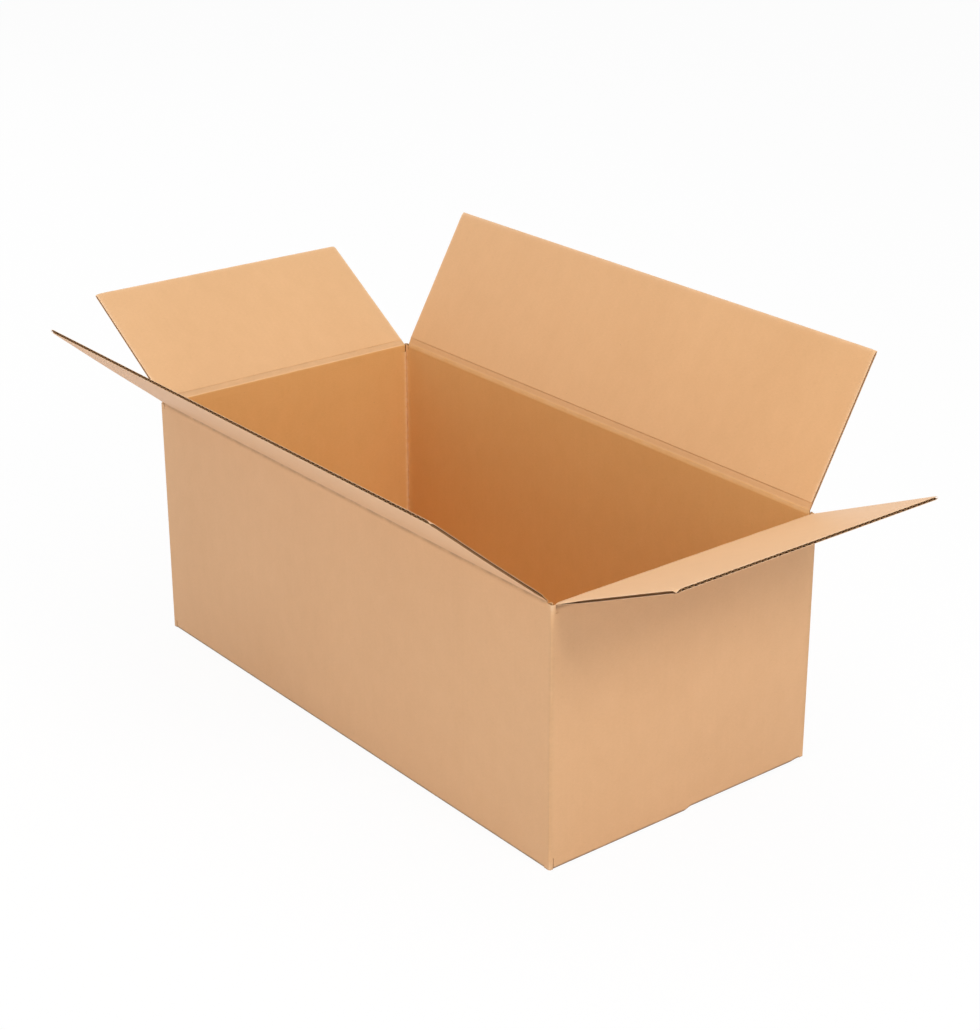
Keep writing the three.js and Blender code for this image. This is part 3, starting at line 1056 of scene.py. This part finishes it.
def makeCarton():
    pile = SheetPile()
    makeRing(pile)
    for name in flaps:
        makeBottomRun(pile, name)
    makeTab(pile)
    piece = pile.build("board_carton", paperMaterials)
    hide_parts("carton_body")
    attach(piece, "carton")
    return piece


cartonPiece = makeCarton()
print("carton made:", len(cartonPiece.data.polygons), "faces")

studio = {
    "floorSize": 60.0,
    "floorDrop": 0.2 * mm,          # the floor lies this much under the box
    "floorColour": (0.90, 0.90, 0.90), "floorRough": 0.9, "floorSpecular": 0.1,
    "floorGlow": 0.94,              # share of plain white in what the camera sees of the floor
    "skyStrength": 0.55,
    "lamps": [
        # name, place, aimed at, size, watts
        ("topLamp", (0.0, 0.0, 2.6), (0.0, 0.0, 0.2), 2.4, 17.4),
        ("endLamp", (2.0, -0.1, 1.85), (0.2, 0.0, 0.15), 0.8, 22.5),
        ("frontLamp", (0.6, -2.6, 1.1), (0.0, 0.0, 0.12), 1.6, 13.6),
        ("farLamp", (-3.0, 0.0, 1.9), (0.2, 0.0, 0.25), 1.2, 20.0),
    ],
}


# One where the camera looks, also through reflections
def seenNode(tree):
    path = tree.nodes.new("ShaderNodeLightPath")
    mirrored = mathNode(tree, "MAXIMUM", path.outputs["Is Glossy Ray"], path.outputs["Is Transmission Ray"])
    return mathNode(tree, "MAXIMUM", path.outputs["Is Camera Ray"], mirrored)


def mixShaders(tree, factor, first, second, target):
    mixed = tree.nodes.new("ShaderNodeMixShader")
    for socket, value in zip(mixed.inputs, (factor, first.outputs[0], second.outputs[0])):
        tree.links.new(value, socket)
    tree.links.new(mixed.outputs[0], tree.nodes[target].inputs["Surface"])


# The floor, the sky and the lamps
def makeStudio():
    size = studio["floorSize"] / 2
    mesh = bpy.data.meshes.new("floor")
    corners = [(-size, -size, 0), (size, -size, 0), (size, size, 0), (-size, size, 0)]
    mesh.from_pydata(corners, [], [(0, 1, 2, 3)])
    floor = addObject("floor", mesh)
    floor.location.z = -studio["floorDrop"]
    material, tree, shader = newMaterial("paleFloor")
    shader.inputs["Base Color"].default_value = (*studio["floorColour"], 1)
    shader.inputs["Roughness"].default_value = studio["floorRough"]
    shader.inputs["Specular IOR Level"].default_value = studio["floorSpecular"]
    glow = tree.nodes.new("ShaderNodeEmission")
    share = timesNode(tree, seenNode(tree), studio["floorGlow"])
    mixShaders(tree, share, shader, glow, "Material Output")
    mesh.materials.append(material)

    world = bpy.data.worlds.new("studioSky")
    bpy.context.scene.world = world
    world.use_nodes = True
    tree = world.node_tree
    sky = tree.nodes["Background"]
    sky.inputs["Color"].default_value = (1, 1, 1, 1)
    sky.inputs["Strength"].default_value = studio["skyStrength"]
    white = tree.nodes.new("ShaderNodeBackground")
    white.inputs["Color"].default_value = (1, 1, 1, 1)
    mixShaders(tree, seenNode(tree), sky, white, "World Output")

    for name, place, aim, width, watts in studio["lamps"]:
        data = bpy.data.lights.new(name, "AREA")
        data.shape = "DISK"
        data.size = width
        data.energy = watts
        lamp = addObject(name, data)
        lamp.location = place
        lamp.rotation_euler = (Vector(aim) - Vector(place)).to_track_quat("-Z", "Y").to_euler()


makeStudio()
bpy.context.scene.view_settings.view_transform = "Standard"

camera = {
    "azimuth": 49.981, "elevation": 21.743, "roll": 0.536,
    "target": (0.0381, 0.0652, 0.2213), "distance": 2.0415,
    "focalPixels": 2182.5, "imageHeight": 1030,
    "shiftPixels": (58.7, -43.3),   # where the lens axis meets the picture, right and down from its middle
    "sensor": 36.0, "clip": (0.01, 100),
}


def makeCamera():
    a, e, r = (math.radians(camera[key]) for key in ("azimuth", "elevation", "roll"))
    back = Vector((math.sin(a) * math.cos(e), -math.cos(a) * math.cos(e), math.sin(e)))
    right = Vector((math.cos(a), math.sin(a), 0))
    up = back.cross(right)
    right, up = math.cos(r) * right + math.sin(r) * up, math.cos(r) * up - math.sin(r) * right
    data = bpy.data.cameras.new("camera")
    data.sensor_width = camera["sensor"]
    data.lens = camera["focalPixels"] / camera["imageHeight"] * data.sensor_width
    data.shift_x = -camera["shiftPixels"][0] / camera["imageHeight"]
    data.shift_y = camera["shiftPixels"][1] / camera["imageHeight"]
    data.clip_start, data.clip_end = camera["clip"]
    made = addObject("camera", data)
    turn = Matrix((right, up, back)).transposed().to_4x4()
    made.matrix_world = Matrix.Translation(Vector(camera["target"]) + back * camera["distance"]) @ turn
    bpy.context.scene.camera = made


makeCamera()
print("studio and camera made")

bpy.context.view_layer.update()
